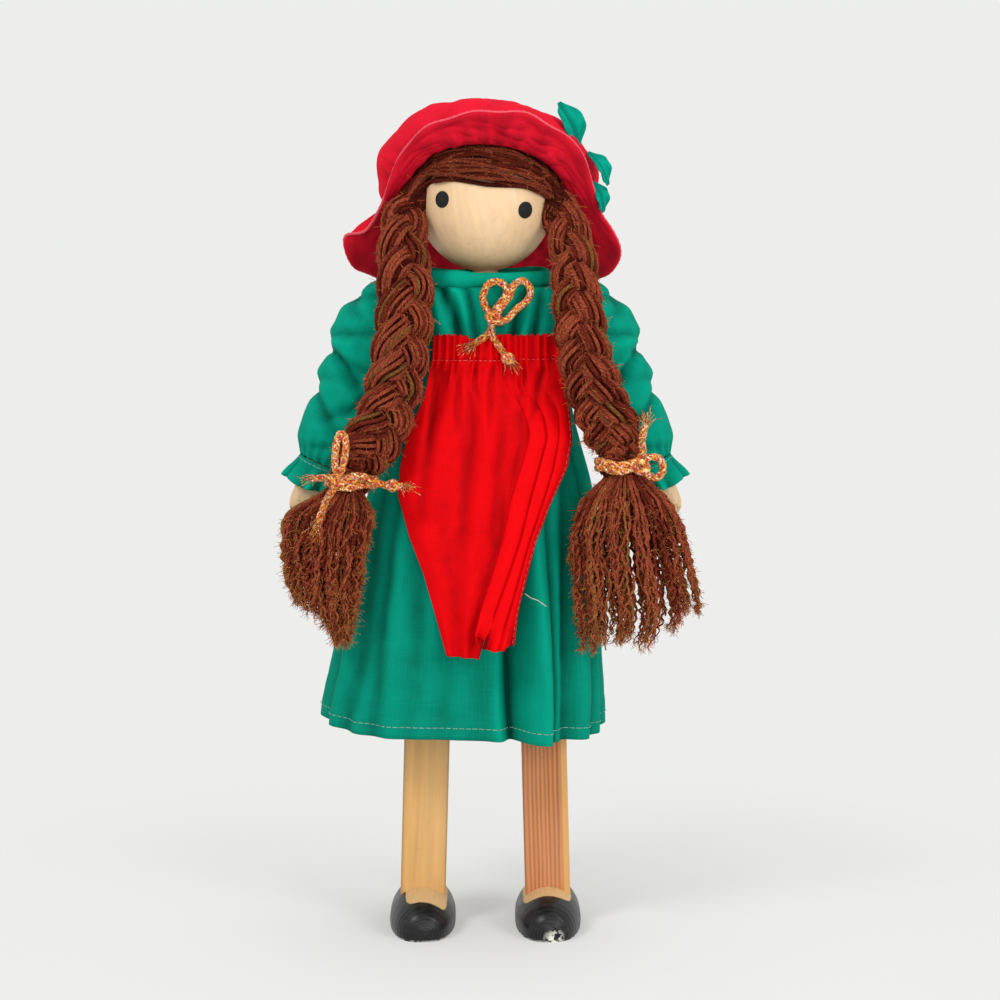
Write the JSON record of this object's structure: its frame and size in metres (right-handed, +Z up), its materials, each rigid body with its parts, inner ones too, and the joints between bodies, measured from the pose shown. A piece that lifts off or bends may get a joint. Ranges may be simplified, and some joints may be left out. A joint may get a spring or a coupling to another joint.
{
  "type": "peg wooden doll",
  "caption": "Peg wooden doll with pegged shoulders, elbows, hips and knees, yarn plaits tied with cord, a gathered cloth dress, an apron and a soft brimmed hat.",
  "frame": {"origin": "on the ground under the middle of the doll, which is the middle of its outer box seen from above", "axes": "+Z up, and the doll faces -Y"},
  "size_m": [0.1756, 0.1075, 0.3568],
  "materials": {
    "torso_wood": "bare sanded wood",
    "peg_wood": "bare dowel",
    "head_wood": "clear satin varnish over pale close-grained wood",
    "arm_wood": "bare sanded wood",
    "leg_left_wood": "bare pale wood with a flat grain",
    "leg_right_wood": "bare reddish wood with strong upright rings",
    "foot_wood": "gloss black paint over carved wood, bare over the instep",
    "eye_paint": "gloss black",
    "hair_yarn": "soft brown wool yarn",
    "metallic_cord": "braided cord with a metallic thread",
    "hat_cloth": "red cotton with a raised seam",
    "leaf_cloth": "green cotton",
    "dress_cloth": "green cotton with a fine plain weave",
    "apron_cloth": "bright red cotton"
  },
  "bodies": {
    "torso": {"torso": "torso_wood", "neck_peg": "peg_wood", "head": "head_wood", "eye_left": "eye_paint", "eye_right": "eye_paint", "hair_hank": "hair_yarn", "plait_left": "hair_yarn", "plait_right": "hair_yarn", "tassel_left": "hair_yarn", "tassel_right": "hair_yarn", "plait_tie_left": "metallic_cord", "plait_tie_right": "metallic_cord", "chest_bow": "metallic_cord", "hat_crown": "hat_cloth", "hat_brim": "hat_cloth", "hat_leaf_upper": "leaf_cloth", "hat_leaf_middle": "leaf_cloth", "hat_leaf_lower": "leaf_cloth", "dress_bodice": "dress_cloth", "neck_band": "dress_cloth", "dress_skirt": "dress_cloth", "apron": "apron_cloth"},
    "arm_left": {"shoulder_peg_left": "peg_wood", "upper_arm_left": "arm_wood", "elbow_peg_left": "peg_wood", "sleeve_left": "dress_cloth"},
    "arm_right": {"shoulder_peg_right": "peg_wood", "upper_arm_right": "arm_wood", "elbow_peg_right": "peg_wood", "sleeve_right": "dress_cloth"},
    "forearm_left": {"forearm_left": "arm_wood", "cuff_left": "dress_cloth"},
    "forearm_right": {"forearm_right": "arm_wood", "cuff_right": "dress_cloth"},
    "legs": {"hip_dowel": "peg_wood", "thigh_left": "leg_left_wood", "thigh_right": "leg_right_wood", "knee_peg_left": "peg_wood", "knee_peg_right": "peg_wood"},
    "shin_left": {"shin_left": "leg_left_wood", "foot_left": "foot_wood"},
    "shin_right": {"shin_right": "leg_right_wood", "foot_right": "foot_wood"}
  },
  "joints": [
    {"name": "shoulder_left", "type": "hinge", "parent": "torso", "child": "arm_left", "pos_m": [-0.03999, 0, 0.26799], "axis": [-1, 0, 0], "range_deg": [-30, 90], "deforming": ["sleeve_left", "cuff_left", "plait_left", "plait_tie_left", "tassel_left", "dress_skirt", "apron"]},
    {"name": "shoulder_right", "type": "hinge", "parent": "torso", "child": "arm_right", "pos_m": [0.03999, 0, 0.26799], "axis": [-1, 0, 0], "range_deg": [-30, 90], "deforming": ["sleeve_right", "cuff_right", "plait_right", "plait_tie_right", "tassel_right", "dress_skirt", "apron"]},
    {"name": "elbow_left", "type": "hinge", "parent": "arm_left", "child": "forearm_left", "pos_m": [-0.05667, 0, 0.22944], "axis": [-0.9178, 0, 0.3971], "range_deg": [0, 70], "deforming": ["sleeve_left", "cuff_left", "plait_left", "plait_tie_left", "tassel_left"]},
    {"name": "elbow_right", "type": "hinge", "parent": "arm_right", "child": "forearm_right", "pos_m": [0.05667, 0, 0.22944], "axis": [-0.9178, 0, -0.3971], "range_deg": [0, 70], "deforming": ["sleeve_right", "cuff_right", "plait_right", "plait_tie_right", "tassel_right"]},
    {"name": "hips", "type": "hinge", "parent": "torso", "child": "legs", "pos_m": [0, 0, 0.16794], "axis": [-1, 0, 0], "range_deg": [-15, 90], "deforming": ["dress_skirt", "apron", "plait_left", "plait_tie_left", "tassel_left", "plait_right", "plait_tie_right", "tassel_right"]},
    {"name": "knee_left", "type": "hinge", "parent": "legs", "child": "shin_left", "pos_m": [-0.02469, 0, 0.10396], "axis": [0.9996, 0, -0.0279], "range_deg": [0, 55], "deforming": ["dress_skirt"]},
    {"name": "knee_right", "type": "hinge", "parent": "legs", "child": "shin_right", "pos_m": [0.02469, 0, 0.10396], "axis": [0.9996, 0, 0.0279], "range_deg": [0, 55], "deforming": ["dress_skirt"]}
  ]
}
